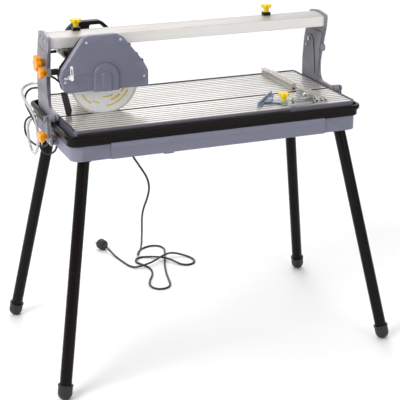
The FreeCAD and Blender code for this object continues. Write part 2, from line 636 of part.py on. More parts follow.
def yoke():
    """Cast carrier under the rail that holds the motor, the guard and the handle."""
    outline = [(-394, 918, 4), (-394, 886, 26), (-190, 886, 26), (-190, 918, 4)]
    body = plate_y(outline, YOKE_FRONT_Y, YOKE_BACK_Y)
    pocket = [(-386, 911, 3), (-386, 893, 14), (-198, 893, 14), (-198, 911, 3)]
    body = body.cut(plate_y(pocket, 20, 46)).cut(plate_y(pocket, 94, 115))
    saddle = box(HEAD_X - 30, HEAD_X + 30, 30, 106, 870, 888)
    body = fused([body, saddle]).cut(rod_y(HEAD_X, BLADE_Z, MOTOR_RADIUS + 0.02, 20, 150))
    return body.cut(box(HEAD_X - 51, HEAD_X + 51, 37, 75, 915, 930))


def motor_housing():
    barrel = rod_y(HEAD_X, BLADE_Z, MOTOR_RADIUS, 12, 150)
    nose = Part.makeCone(30, MOTOR_RADIUS - 4, 30, Vector(HEAD_X, GUARD_BACK_Y, BLADE_Z), Vector(0, 1, 0))
    lug = plate_y([(-396, 844, 4), (-396, 866, 4), (-330, 862, 2), (-330, 846, 2)], 12, 30)
    washer = rod_x(LOCK_KNOB_Y, LOCK_KNOB_Z, 10.5, -399.5, -395.5)
    body = fused([barrel, nose, lug, washer])
    for turn in range(60, 301, 15):
        face_z = BLADE_Z + MOTOR_RADIUS
        rib = box(HEAD_X - 1.5, HEAD_X + 1.5, 34, 140, face_z - 1.2, face_z + 2.2)
        rib.rotate(Vector(HEAD_X, 0, BLADE_Z), Vector(0, 1, 0), turn)
        body = body.fuse(rib)
    body = body.removeSplitter()
    return body.cut(rod_y(HEAD_X, BLADE_Z, ARBOR_RADIUS + 0.05, -30, 6))


def motor_end_cap():
    cap = rod_y(HEAD_X, BLADE_Z, MOTOR_RADIUS - 1, 150, 172)
    cap = rounded_edges(cap, 9, lambda edge: edge.BoundBox.YMin > 171)
    for index in range(12):
        slot = box(HEAD_X - 9, HEAD_X + 9, 168, 175, BLADE_Z - 1.5 + 27, BLADE_Z + 1.5 + 27)
        slot.rotate(Vector(HEAD_X, 0, BLADE_Z), Vector(0, 1, 0), 30.0 * index)
        cap = cap.cut(slot)
    return cap


def handle():
    """Closed handle behind the rail; its left part is the switch housing."""
    low_y = YOKE_BACK_Y
    outer = [(-341, 893, 10), (-341, 948, 24), (-312, 972, 30), (-236, 972, 30), (-209, 946, 26),
             (-209, 893, 10)]
    outer = [(x + HANDLE_SHIFT_X, z, radius) for x, z, radius in outer]
    body = plate_y(outer, low_y, low_y + 28)
    body = rounded_edges(body, 4.5, lambda edge: edge.BoundBox.YLength < 0.01)
    opening = [(-273, 914, 6), (-273, 961, 5), (-240, 961, 10), (-222, 944, 10), (-222, 914, 6)]
    opening = [(x + HANDLE_SHIFT_X, z, radius) for x, z, radius in opening]
    body = body.cut(plate_y(opening, low_y - 5, low_y + 40))
    pocket = box(SWITCH_X - 9.3, SWITCH_X + 9.3, low_y + 19.5, low_y + 32, SWITCH_Z - 14.3, SWITCH_Z + 14.3)
    return body.cut(pocket)


def power_switch():
    """Rocker in the switch housing, pivoting about X at its middle."""
    base_y = YOKE_BACK_Y + 24
    rocker = plate_x([(base_y, SWITCH_Z - 12.5, 1), (base_y + 6.5, SWITCH_Z - 12.5, 1),
                      (base_y + 4.8, SWITCH_Z, 6), (base_y + 8.5, SWITCH_Z + 12.5, 1),
                      (base_y, SWITCH_Z + 12.5, 1)], SWITCH_X - 8.6, SWITCH_X + 8.6)
    return rocker.common(rod_x(base_y + 1, SWITCH_Z, 13.8, SWITCH_X - 9, SWITCH_X + 9))


def cover_outline():
    """Outline of the guard's front cover in (x, z), open along its lower edge."""
    return [(-411, GUARD_BOTTOM, 14), (-421, 855, 14), (-414, 880, 14), (-353, 963, 18), (-336, 968, 16),
            (-256, 968, 16), (-237, 958, 16), (-181, 888, 20), (-165, 858, 26), (-165, GUARD_BOTTOM, 0)]


def inner_outline():
    """Outline of the guard's inner half, a little inside the cover's."""
    return [(-408, GUARD_BOTTOM, 8), (-418, 854, 12), (-411, 878, 12), (-351, 953, 16), (-336, 960, 14),
            (-258, 960, 14), (-240, 953, 12), (-183, 884, 16), (-169, 856, 22), (-169, GUARD_BOTTOM, 0)]


def guard_space(outline, low_y, high_y):
    """The hollow inside one half of the guard, from its walls down through the open lower edge."""
    face = rounded_face(outline, lambda p: Vector(p.x, low_y, p.y))
    inner = face.makeOffset2D(-GUARD_WALL).extrude(Vector(0, high_y - low_y, 0))
    mouth = box(-402, -172, low_y, high_y, GUARD_BOTTOM - 5, GUARD_BOTTOM + 10)
    return inner.fuse(mouth)


def guard_inner():
    body = plate_y(inner_outline(), GUARD_SPLIT_Y, GUARD_BACK_Y)
    body = body.cut(guard_space(inner_outline(), GUARD_SPLIT_Y - 1, GUARD_BACK_Y - GUARD_WALL))
    seat = box(-380, -196, GUARD_BACK_Y - 0.5, YOKE_FRONT_Y, 890, 902)
    flap_tab = box(-404, -394, FLAP_BACK_Y, GUARD_BACK_Y - 1, 818, 834)
    clips = [rounded_edges(box(x - 5, x + 5, -34, -26, z - 5, z + 5), 2,
                           lambda edge: edge.BoundBox.YLength > 5)
             for x, z in ((-211, 926), (-190, 898), (-174, 879))]
    body = fused([body, seat, flap_tab] + screw_bosses(5, GUARD_SPLIT_Y, GUARD_BACK_Y - 1))
    for clip in clips:
        body = body.fuse(clip)
    body = body.removeSplitter()
    for x, z in GUARD_SCREWS:
        body = body.cut(rod_y(x, z, 2.05, -60, -24))
    return body.cut(rod_y(HEAD_X, BLADE_Z, 16, -30, -10))


def screw_bosses(radius, low_y, high_y):
    outline = plate_y(inner_outline(), low_y, high_y)
    return [rod_y(x, z, radius, low_y, high_y).common(outline) for x, z in GUARD_SCREWS]


def guard_cover():
    body = plate_y(cover_outline(), GUARD_FRONT_Y, GUARD_SPLIT_Y)
    rim = [edge for edge in body.Edges
           if edge.BoundBox.YMax < GUARD_FRONT_Y + 0.01 and edge.BoundBox.ZMax > 830]
    body = body.makeChamfer(3.0, rim)
    dome = hub_boss(38, 852, GUARD_FRONT_Y - 8, GUARD_FRONT_Y + 8, 7.5)
    centre = hub_boss(15, 852, GUARD_FRONT_Y - 11, GUARD_FRONT_Y - 6, 4)
    body = fused([body, dome, centre])
    body = body.cut(guard_space(cover_outline(), GUARD_FRONT_Y + GUARD_WALL, GUARD_SPLIT_Y + 1))
    body = body.cut(plate_y(hub_outline(29, 852, 800), GUARD_FRONT_Y - 4.5, GUARD_FRONT_Y + 9))
    body = fused([body] + screw_bosses(6, GUARD_FRONT_Y + 1, GUARD_SPLIT_Y))
    for x, z in GUARD_SCREWS:
        body = body.cut(rod_y(x, z, 2.3, -80, -30)).cut(rod_y(x, z, 4.5, -80, GUARD_FRONT_Y + 3))
    return body.cut(rod_y(TAP_X, TAP_Z, 3.05, -80, -55))


def hub_boss(radius, centre_z, low_y, high_y, edge_radius):
    boss = plate_y(hub_outline(radius, centre_z, GUARD_BOTTOM - 1), low_y, high_y)
    return rounded_edges(boss, edge_radius, lambda edge: edge.BoundBox.YMax < low_y + 0.01
                         and edge.BoundBox.ZMax > GUARD_BOTTOM + 1)


def hub_outline(radius, centre_z, low_z):
    """Arch-topped outline of the hub boss, in (x, z)."""
    top = centre_z + radius
    return [(HEAD_X - radius - 2, low_z, 0), (HEAD_X - radius - 2, top, radius - 0.5),
            (HEAD_X + radius - 2, top, radius - 0.5), (HEAD_X + radius - 2, low_z, 0)]


def guard_screws():
    screws = []
    for x, z in GUARD_SCREWS:
        head = rounded_edges(rod_y(x, z, 4.2, GUARD_FRONT_Y - 0.4, GUARD_FRONT_Y + 3), 1.2,
                             lambda edge: edge.BoundBox.YMax < GUARD_FRONT_Y)
        screw = fused([head, rod_y(x, z, 2.0, GUARD_FRONT_Y + 2, -26)])
        cross = box(x - 2.4, x + 2.4, GUARD_FRONT_Y - 1, GUARD_FRONT_Y + 1.2, z - 0.5, z + 0.5)
        screws.append(screw.cut(cross).cut(box(x - 0.5, x + 0.5, GUARD_FRONT_Y - 1, GUARD_FRONT_Y + 1.2,
                                               z - 2.4, z + 2.4)))
    return screws


def splash_flap():
    """Rubber flap that trails behind the blade, down to the table's slot."""
    return plate_y([(-401.7, 834, 2), (-396, 834, 2), (-396, 806, 6), (-385, 757, 4), (-388, 743.5, 2),
                    (-402, 743.5, 3), (-414.5, 806, 3), (-414, 811, 1), (-401.7, 811, 0)],
                   FLAP_FRONT_Y, FLAP_BACK_Y)


def water_tap():
    stem = rod_y(TAP_X, TAP_Z, 3.0, -77, -58)
    ball = Part.makeSphere(6.2, Vector(TAP_X, -73.0, TAP_Z))
    nipple = rod_x(-73.0, TAP_Z, 3.0, TAP_X - 20, TAP_X)
    barbs = [Part.makeCone(3.0, 4.2, 5, Vector(TAP_X - reach, -73.0, TAP_Z), Vector(1, 0, 0))
             for reach in (19, 12)]
    collar = rod_y(TAP_X, TAP_Z, 6.5, -67.0, GUARD_FRONT_Y)
    return fused([stem, ball, nipple, collar] + barbs)


def tap_lever():
    """Loop-shaped lever on the front of the tap, upright at rest."""
    low = TAP_Z - 4.5
    high = TAP_Z + 37
    loop = plate_y([(TAP_X - 4.5, low, 4), (TAP_X + 4.5, low, 4), (TAP_X + 3.5, high, 3.2),
                    (TAP_X - 4.5, high, 3.2)], -84.5, -81.5)
    window = plate_y([(TAP_X - 1.9, low + 16, 1.5), (TAP_X + 1.7, low + 16, 1.5),
                      (TAP_X + 1.3, high - 8, 1.2), (TAP_X - 2.1, high - 8, 1.2)], -90, -75)
    hub = rod_y(TAP_X, TAP_Z, 3.2, -81.8, -79.6)
    return fused([loop.cut(window), hub])


# ---------------------------------------------------------------- cutting parts
def blade():
    core = rod_y(HEAD_X, BLADE_Z, BLADE_RADIUS - 6, SLOT_Y - 0.9, SLOT_Y + 0.9)
    rim = rod_y(HEAD_X, BLADE_Z, BLADE_RADIUS, SLOT_Y - 1.2, SLOT_Y + 1.2)
    rim = rim.cut(rod_y(HEAD_X, BLADE_Z, BLADE_RADIUS - 7, SLOT_Y - 2, SLOT_Y + 2))
    return fused([core, rim]).cut(rod_y(HEAD_X, BLADE_Z, BLADE_BORE, SLOT_Y - 5, SLOT_Y + 5))


def spindle():
    shaft = rod_y(HEAD_X, BLADE_Z, ARBOR_RADIUS, -45.5, 4)
    thread = rod_y(HEAD_X, BLADE_Z, 8, -56, -45)
    flange = rod_y(HEAD_X, BLADE_Z, 25, SLOT_Y + 0.9, SLOT_Y + 5)
    return fused([shaft, thread, flange])


def flange_nut():
    """Arbor nut with the outer flange that clamps the blade."""
    corners = []
    for index in range(6):
        x, z = on_circle(16, 60 * index)
        corners.append((HEAD_X + x, BLADE_Z + z, 0))
    nut = plate_y(corners, -54, -45.9).fuse(rod_y(HEAD_X, BLADE_Z, 25, -46, SLOT_Y - 0.9))
    nut = nut.cut(rod_y(HEAD_X, BLADE_Z, BLADE_BORE, -46, -30))
    return nut.cut(rod_y(HEAD_X, BLADE_Z, 8.05, -60, -40))


# ---------------------------------------------------------------- fences and angle stop
def fence(low_y, high_y):
    base = TABLE_TOP + FENCE_LIFT
    upright = box(FENCE_X, FENCE_X + 14, low_y, high_y, base, base + FENCE_HEIGHT)
    foot = box(FENCE_X + 13, FENCE_X + 42, low_y, high_y, base, base + 9)
    profile = fused([upright, foot])
    slots = [box(FENCE_X - 1, FENCE_X + 4, low_y - 1, high_y + 1, base + 10, base + 14),
             box(FENCE_X + 5, FENCE_X + 9, low_y - 1, high_y + 1, base + 15.5, base + 30),
             box(FENCE_X + 3, FENCE_X + 11, low_y - 1, high_y + 1, base + 2, base + 7.5)]
    for start in (FENCE_X + 16, FENCE_X + 29):
        slots.append(box(start, start + 10, low_y - 1, high_y + 1, base + 2, base + 6.5))
        slots.append(box(start + 3, start + 7, low_y - 1, high_y + 1, base + 5, base + 12))
    for slot in slots:
        profile = profile.cut(slot)
    return profile


def stop_plate():
    """Angle stop: flat plate with a curved slot, and an upright clamp flange along the front fence."""
    low = TABLE_TOP + 1.0
    flat = plate_z([(204, -160, 10), (222, -190, 8), (296, -184, 6), (305.2, -172, 2), (305.2, -82, 2),
                    (292, -82, 4), (290, -128, 10), (240, -120, 10), (206, -128, 10)], low, low + 2.5)
    flange = box(302.7, 305.2, -172, -82, low, low + 19)
    body = fused([flat, flange])
    arc = rod_z(STOP_PIVOT.x, STOP_PIVOT.y, 31, low - 1, low + 4).cut(
        rod_z(STOP_PIVOT.x, STOP_PIVOT.y, 26, low - 1, low + 4))
    body = body.cut(arc.common(box(STOP_PIVOT.x + 12, STOP_PIVOT.x + 40, -175, -120, low - 2, low + 5)))
    rail_rod = rod_x(-150, low + 8.2, 3.5, 246, 303)
    post_block = box(246, 256, -155, -145, low + 2, low + 8)
    body = fused([body, rail_rod, post_block])
    body = body.cut(rod_z(STOP_PIVOT.x, STOP_PIVOT.y, STUD_RADIUS + 0.1, low - 2, low + 5))
    return body.cut(rod_x(WING_Y, WING_Z, 3.1, 295, 310))


def mitre_bar():
    """Bar that the tile's edge rests on, with a slotted arm back to the pivot knob."""
    low = TABLE_TOP + 3.8
    bar = box(-68, 76, 57, 60, TABLE_TOP + 1, TABLE_TOP + 15).fuse(box(-68, 76, 51, 60, TABLE_TOP + 1, low))
    arm_outline = [(-13, -13, 12), (13, -13, 12), (13, 54, 2), (-24, 54, 2), (-13, 34, 8)]
    arm = plate_z(arm_outline, low - 0.2, low + 2.5)
    slider = box(-16, 4, 33, 46, low + 2, low + 10)
    slider = slider.cut(box(-9, -3, 38, 47, low + 5, low + 12))
    body = fused([bar, arm, slider])
    body = body.cut(rod_z(0, 0, STUD_RADIUS + 0.1, low - 2, low + 5))
    body.rotate(Vector(0, 0, 0), Vector(0, 0, 1), MITRE_DIRECTION)
    body.translate(Vector(STOP_PIVOT.x, STOP_PIVOT.y, 0))
    return body


def stop_knob():
    start = TABLE_TOP + 6.8
    knob = star_knob(32, 10, 15, 5)
    knob.translate(Vector(STOP_PIVOT.x, STOP_PIVOT.y, start))
    return fused([knob, rod_z(STOP_PIVOT.x, STOP_PIVOT.y, STUD_RADIUS, TABLE_TOP + 1.0, start + 5)])


def wing_nut():
    hub = Part.makeCone(4.0, 5.5, 6, Vector(295.5, WING_Y, WING_Z), Vector(1, 0, 0))
    stud = rod_x(WING_Y, WING_Z, 3.0, 294, 305.7)
    wings = plate_x([(WING_Y - 4, WING_Z - 3, 1), (WING_Y - 12, WING_Z + 8.5, 4), (WING_Y - 2, WING_Z + 2, 1),
                     (WING_Y + 2, WING_Z + 2, 1), (WING_Y + 12, WING_Z + 8.5, 4), (WING_Y + 4, WING_Z - 3, 1)],
                    296.2, 298.6)
    return fused([hub, stud, wings])


# ---------------------------------------------------------------- inside the tray and at the back
def water_pump():
    """Submersible pump on the tray's floor, with its outlet pipe to the hose's spigot at the left wall."""
    body = rounded_edges(box(-392, -332, 30, 90, PUMP_BASE, 713), 5, lambda edge: edge.BoundBox.ZLength > 10)
    outlet = rod_x(60, HOSE_END.z, 4, -408, -390)
    pipe = rod_y(-408, HOSE_END.z, 5, 54, HOSE_END.y + 6)
    spigot = rod_x(HOSE_END.y, HOSE_END.z, 4, HOSE_END.x, -406)
    return fused([body, outlet, pipe, spigot])


def junction_box():
    body = rounded_edges(box(BOX_X - 35, BOX_X + 35, TRAY_HALF_Y + 4.7, 246, 662, 698), 4,
                         lambda edge: edge.BoundBox.YLength > 10)
    return body.cut(rod_z(BOX_X, GLAND_Y, 8.0, 655, 672))


def cord_gland():
    """Tapered strain relief under the junction box, with a flanged plug inside the box's hole."""
    plug = rod_z(BOX_X, GLAND_Y, 7.9, 660, 671)
    flange = rod_z(BOX_X, GLAND_Y, 10.5, 657, 662)
    cone = Part.makeCone(5.0, 8.5, 32, Vector(BOX_X, GLAND_Y, 626), Vector(0, 0, 1))
    return fused([plug, flange, cone])


def mains_plug():
    """Round earthed plug, lying on the floor beyond the last point of the cord."""
    along = Vector(CORD_END.x - CORD_BEFORE_END.x, CORD_END.y - CORD_BEFORE_END.y, 0).normalize()
    collar = Part.makeCone(6.0, 13.0, 22, CORD_END, along)
    face_centre = CORD_END + along * 20
    body = Part.makeCylinder(PLUG_RADIUS, 20, face_centre, along)
    grip = Part.makeCone(13.0, PLUG_RADIUS, 8, face_centre - along * 8, along)
    plug = collar.fuse(body).fuse(grip)
    across = Vector(-along.y, along.x, 0)
    recess = Part.makeCylinder(16.0, 10, face_centre + along * 12, along)
    core = Part.makeCylinder(14.0, 8, face_centre + along * 12, along)
    plug = plug.cut(recess).fuse(core)
    for side in (-1, 1):
        pin_start = face_centre + along * 18 + across * (9.5 * side)
        plug = plug.fuse(Part.makeCylinder(2.4, 20, pin_start, along))
    return plug.removeSplitter()


# ---------------------------------------------------------------- free cords
def cord_tube(name, route, diameter):
    """Plain tube of straight runs joined by tangent arcs, each as large as its two runs allow."""
    start = route[0]
    edges = []
    radii = []
    for index in range(1, len(route) - 1):
        here = route[index]
        back = route[index - 1] - here
        ahead = route[index + 1] - here
        half_turn = (math.pi - back.getAngle(ahead)) / 2
        setback = 0.45 * min(back.Length, ahead.Length)
        radius = setback / math.tan(half_turn)
        first = here + back.normalize() * setback
        last = here + ahead.normalize() * setback
        inward = (first - here) + (last - here)
        apex = here + inward.normalize() * (radius / math.cos(half_turn) - radius)
        edges.append(Part.LineSegment(start, first).toShape())
        edges.append(Part.Arc(first, apex, last).toShape())
        radii.append(radius)
        start = last
    edges.append(Part.LineSegment(start, route[-1]).toShape())
    path = Part.Wire(edges)
    ring_face = Part.Wire(Part.makeCircle(diameter / 2, route[0], route[1] - route[0]))
    tube = path.makePipeShell([ring_face], True, False, 2)
    expected = path.Length * math.pi * diameter * diameter / 4
    print(name, "length", round(path.Length), "smallest radius", round(min(radii), 1),
          "radii", [round(radius) for radius in radii], "volume ratio", round(tube.Volume / expected, 4))
    return tube


# ---------------------------------------------------------------- assembly
def main():
    os.makedirs("parts", exist_ok=True)
    corners = {"front_left": (-1, -1), "front_right": (1, -1), "rear_left": (-1, 1), "rear_right": (1, 1)}
    for corner, (side_x, side_y) in corners.items():
        save("leg_" + corner, leg(side_x, side_y))
    save("rubber_feet", [rubber_foot(*sides) for sides in corners.values()])
    save("underframe", underframe())
    save("water_tray", water_tray())
    save("rim_frame", rim_frame())
    save("table_frame", table_frame())
    save("front_table_plate", table_plate(-TABLE_HALF_Y, SLOT_Y - SLOT_WIDTH / 2))
    save("rear_table_plate", table_plate(SLOT_Y + SLOT_WIDTH / 2, TABLE_HALF_Y))
    save("water_pump", water_pump())
    save("bracket_bolts", bracket_bolts())
    save("junction_box", junction_box())
    save("cord_gland", cord_gland())
    save("mains_cord", cord_tube("mains_cord", MAINS_ROUTE, MAINS_DIAMETER))
    save("mains_plug", mains_plug())
    save("motor_lead", cord_tube("motor_lead", MOTOR_LEAD_ROUTE, LEAD_DIAMETER))
    save("pump_lead", cord_tube("pump_lead", PUMP_LEAD_ROUTE, LEAD_DIAMETER))
    save("water_hose", cord_tube("water_hose", HOSE_ROUTE, HOSE_DIAMETER))

    save("post_left", left_post())
    save("post_right", mirrored(post()))
    save("tilt_levers", [tilt_lever(), mirrored(tilt_lever())])
    sided = {"pivot_bracket": pivot_bracket(), "tilt_knob": tilt_knob()}
    for name, shape in sided.items():
        save(name + "_left", shape)
        save(name + "_right", mirrored(shape))
    save("rail", rail())
    save("post_screws", post_screws())
    save("rail_knob_bases", [knob_base(x) for x in RAIL_KNOB_X])
    save("end_buffers", end_buffers())
    save("hose_clip", hose_clip())
    save("rail_knob_left", rail_knob(RAIL_KNOB_X[0]))
    save("rail_knob_right", rail_knob(RAIL_KNOB_X[1]))
    knob_face_x = -POST_OUTER_X - POST_PAD - 0.3
    save("clamp_knob", knob_along_x(CLAMP_KNOB_Y, CLAMP_KNOB_Z, knob_face_x, -421, 46, 15, 11, 6))
    save("transport_lock_knob", knob_along_x(LOCK_KNOB_Y, LOCK_KNOB_Z, knob_face_x, -400.5, 34, 11, 12, 5))

    save("trolley", trolley())
    save("rollers_left", rollers(-1))
    save("rollers_right", rollers(1))
    save("yoke", yoke())
    save("motor_housing", motor_housing())
    save("motor_end_cap", motor_end_cap())
    save("handle", handle())
    save("power_switch", power_switch())
    save("guard_inner", guard_inner())
    save("guard_cover", guard_cover())
    save("guard_screws", guard_screws())
    save("splash_flap", splash_flap())
    save("water_tap", water_tap())
    save("tap_lever", tap_lever())
    save("head_lead", cord_tube("head_lead", HEAD_LEAD_ROUTE, LEAD_DIAMETER))
    save("blade", blade())
    save("spindle", spindle())
    save("flange_nut", flange_nut())

    save("rear_fence", fence(SLOT_Y + 16, TABLE_HALF_Y - 0.5))
    save("front_fence", fence(-176, SLOT_Y - 16))
    save("stop_plate", stop_plate())
    save("mitre_bar", mitre_bar())
    save("stop_knob", stop_knob())
    save("wing_nut", wing_nut())


main()
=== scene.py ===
"""Tile cutter: looks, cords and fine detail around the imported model. Metres, in the model's own frame."""
import json
import math

import bpy
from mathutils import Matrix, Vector


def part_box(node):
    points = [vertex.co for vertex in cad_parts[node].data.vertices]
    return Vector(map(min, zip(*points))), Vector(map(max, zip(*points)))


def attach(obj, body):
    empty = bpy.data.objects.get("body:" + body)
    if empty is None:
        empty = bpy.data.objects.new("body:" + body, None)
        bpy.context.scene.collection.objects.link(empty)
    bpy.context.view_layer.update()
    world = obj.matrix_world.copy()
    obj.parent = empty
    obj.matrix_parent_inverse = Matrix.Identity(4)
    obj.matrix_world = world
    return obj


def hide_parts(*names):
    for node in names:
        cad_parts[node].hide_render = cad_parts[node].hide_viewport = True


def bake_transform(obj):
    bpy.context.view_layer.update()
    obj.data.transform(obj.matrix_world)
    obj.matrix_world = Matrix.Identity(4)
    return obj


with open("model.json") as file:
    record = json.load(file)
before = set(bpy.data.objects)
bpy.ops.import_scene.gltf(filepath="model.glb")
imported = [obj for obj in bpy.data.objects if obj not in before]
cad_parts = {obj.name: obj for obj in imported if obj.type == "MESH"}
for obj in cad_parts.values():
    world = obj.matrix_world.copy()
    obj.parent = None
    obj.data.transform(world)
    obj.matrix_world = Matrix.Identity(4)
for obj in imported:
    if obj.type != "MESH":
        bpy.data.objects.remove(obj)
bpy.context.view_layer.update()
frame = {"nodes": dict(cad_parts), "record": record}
NODES = frame["nodes"]


# ---------------------------------------------------------------- materials
class Shader:
    """A node material under construction, with short ways to add the usual nodes."""

    def __init__(self, name):
        self.material = bpy.data.materials.new(name)
        self.material.use_nodes = True
        self.tree = self.material.node_tree
        self.surface = self.tree.nodes["Principled BSDF"]
        self.place = self.tree.nodes.new("ShaderNodeTexCoord").outputs["Object"]

    def link(self, source, target):
        self.tree.links.new(source, target)

    def scaled(self, scale):
        """Object coordinates stretched by scale, for grain that runs one way."""
        mapping = self.tree.nodes.new("ShaderNodeMapping")
        mapping.inputs["Scale"].default_value = scale
        self.link(self.place, mapping.inputs["Vector"])
        return mapping.outputs["Vector"]

    def noise(self, scale, detail=4.0, stretch=(1, 1, 1), roughness=0.55):
        node = self.tree.nodes.new("ShaderNodeTexNoise")
        node.inputs["Scale"].default_value = scale
        node.inputs["Detail"].default_value = detail
        node.inputs["Roughness"].default_value = roughness
        self.link(self.scaled(stretch), node.inputs["Vector"])
        return node.outputs["Fac"]

    def ramp(self, factor, stops):
        """Colour ramp; stops are (position, colour or grey)."""
        node = self.tree.nodes.new("ShaderNodeValToRGB")
        elements = node.color_ramp.elements
        while len(elements) < len(stops):
            elements.new(0.5)
        for element, (position, colour) in zip(elements, stops):
            element.position = position
            element.color = (*colour, 1) if isinstance(colour, tuple) else (colour, colour, colour, 1)
        self.link(factor, node.inputs["Fac"])
        return node.outputs["Color"]

    def maths(self, operation, first, second):
        node = self.tree.nodes.new("ShaderNodeMath")
        node.operation = operation
        for value, socket in ((first, node.inputs[0]), (second, node.inputs[1])):
            if hasattr(value, "links"):
                self.link(value, socket)
            else:
                socket.default_value = value
        return node.outputs["Value"]

    def mix(self, factor, first, second, kind="MIX"):
        node = self.tree.nodes.new("ShaderNodeMix")
        node.data_type = "RGBA"
        node.blend_type = kind
        for value, socket in ((factor, node.inputs[0]), (first, node.inputs[6]), (second, node.inputs[7])):
            if hasattr(value, "links"):
                self.link(value, socket)
            elif isinstance(value, (int, float)):
                socket.default_value = value
            else:
                socket.default_value = (*value, 1)
        return node.outputs[2]

    def bump(self, height, strength, distance=0.0005, edge=0.0):
        node = self.tree.nodes.new("ShaderNodeBump")
        node.inputs["Strength"].default_value = strength
        node.inputs["Distance"].default_value = distance
        self.link(height, node.inputs["Height"])
        if edge > 0:
            bevel = self.tree.nodes.new("ShaderNodeBevel")
            bevel.samples = 4
            bevel.inputs["Radius"].default_value = edge
            self.link(bevel.outputs["Normal"], node.inputs["Normal"])
        self.link(node.outputs["Normal"], self.surface.inputs["Normal"])

    def edges(self, low=0.52, high=0.62):
        """White on convex edges, black elsewhere."""
        geometry = self.tree.nodes.new("ShaderNodeNewGeometry")
        return self.ramp(geometry.outputs["Pointiness"], [(low, 0.0), (high, 1.0)])

    def finish(self, colour, roughness, **sockets):
        if hasattr(colour, "links"):
            self.link(colour, self.surface.inputs["Base Color"])
        else:
            self.surface.inputs["Base Color"].default_value = (*colour, 1)
        if hasattr(roughness, "links"):
            self.link(roughness, self.surface.inputs["Roughness"])
        else:
            self.surface.inputs["Roughness"].default_value = roughness
        for socket, value in sockets.items():
            self.surface.inputs[socket.replace("_", " ")].default_value = value
        return self.material


def tinted(colour, factor):
    return tuple(min(channel * factor, 1.0) for channel in colour)


def plastic(name, colour, grain=900.0, shine=0.38, wear=1.35, relief=0.12, ior=1.45):
    """Moulded plastic: fine grain, slight mottling and paler rubbed edges."""
    shader = Shader(name)
    cloud = shader.noise(9.0, 3.0)
    body = shader.ramp(cloud, [(0.3, tinted(colour, 0.93)), (0.7, tinted(colour, 1.06))])
    body = shader.mix(shader.edges(), body, tinted(colour, wear))
    shader.bump(shader.noise(grain, 2.0), relief, 0.0003, edge=0.0006)
    gloss = shader.ramp(shader.noise(40.0, 3.0), [(0.3, shine - 0.05), (0.75, shine + 0.08)])
    return shader.finish(body, gloss, IOR=ior)


def powder_coat(name, colour, shine=0.34, relief=0.1, ior=1.45):
    """Baked powder coat: orange-peel ripple and a few dusty patches."""
    shader = Shader(name)
    dust = shader.noise(14.0, 5.0)
    body = shader.ramp(dust, [(0.35, tinted(colour, 0.92)), (0.72, tinted(colour, 1.12))])
    body = shader.mix(shader.edges(0.55, 0.68), body, tinted(colour, 1.7))
    shader.bump(shader.noise(420.0, 2.0), relief, 0.0004, edge=0.0008)
    gloss = shader.ramp(shader.noise(30.0, 4.0), [(0.3, shine - 0.06), (0.75, shine + 0.1)])
    return shader.finish(body, gloss, IOR=ior)


def drawn_metal(name, colour, along, shine=0.3, contrast=0.12, wear=1.12, relief=0.18, metal=1.0):
    """Extruded or brushed metal with fine lines along one axis ('x', 'y' or 'z')."""
    stretch = {"x": (3, 900, 900), "y": (900, 3, 900), "z": (900, 900, 3)}[along]
    shader = Shader(name)
    lines = shader.noise(1.0, 3.0, stretch, 0.65)
    body = shader.ramp(lines, [(0.3, tinted(colour, 1 - contrast)), (0.7, tinted(colour, 1 + contrast))])
    smudges = shader.ramp(shader.noise(11.0, 4.0), [(0.35, 0.86), (0.65, 1.0)])
    body = shader.mix(1.0, body, smudges, "MULTIPLY")
    body = shader.mix(shader.edges(), body, tinted(colour, wear))
    shader.bump(lines, relief, 0.0002, edge=0.0004)
    gloss = shader.ramp(shader.noise(1.0, 3.0, stretch), [(0.3, shine - 0.06), (0.7, shine + 0.1)])
    return shader.finish(body, gloss, Metallic=metal)


GROOVE_PITCH_GUIDE = 0.019


def grooved_plate(node, colour):
    """Extruded aluminium table plate, drawn along x, with painted shade in and beside its grooves."""
    shader = Shader(node + "_look")
    corner, far_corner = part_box(node)
    depth = far_corner.y - corner.y
    pitch = depth / round(depth / GROOVE_PITCH_GUIDE)
    lines = shader.noise(1.0, 2.0, (0.4, 260, 260), 0.6)
    body = shader.ramp(lines, [(0.3, tinted(colour, 0.9)), (0.7, tinted(colour, 1.05))])
    smudges = shader.ramp(shader.noise(5.0, 4.0), [(0.35, 0.88), (0.65, 1.0)])
    body = shader.mix(1.0, body, smudges, "MULTIPLY")
    split = shader.tree.nodes.new("ShaderNodeSeparateXYZ")
    shader.link(shader.place, split.inputs[0])
    # Painted shade: a dark band on each side of every groove, broken up by streaks.
    from_edge = shader.maths("SUBTRACT", split.outputs["Y"], corner.y)
    to_groove = shader.maths("PINGPONG", shader.maths("DIVIDE", from_edge, pitch), 0.5)
    beside_groove_shade = shader.ramp(to_groove, [(0.04, 1.0), (0.42, 0.0)])
    streaks = shader.ramp(shader.noise(1.0, 3.0, (1.3, 45, 45)), [(0.32, 0.55), (0.62, 0.95)])
    body = shader.mix(shader.mix(1.0, beside_groove_shade, streaks, "MULTIPLY"), body, (0.27, 0.25, 0.235))
    # Painted shade: every face below the plate's top, including the groove walls and floors and the plate's
    # edges, is darkened.
    low = shader.maths("LESS_THAN", split.outputs["Z"], far_corner.z - 0.0004)
    body = shader.mix(low, body, (0.12, 0.11, 0.105))
    shader.bump(lines, 0.03, 0.0002, edge=0.0004)
    gloss = shader.ramp(lines, [(0.3, 0.24), (0.7, 0.36)])
    return shader.finish(body, gloss, Metallic=0.6)


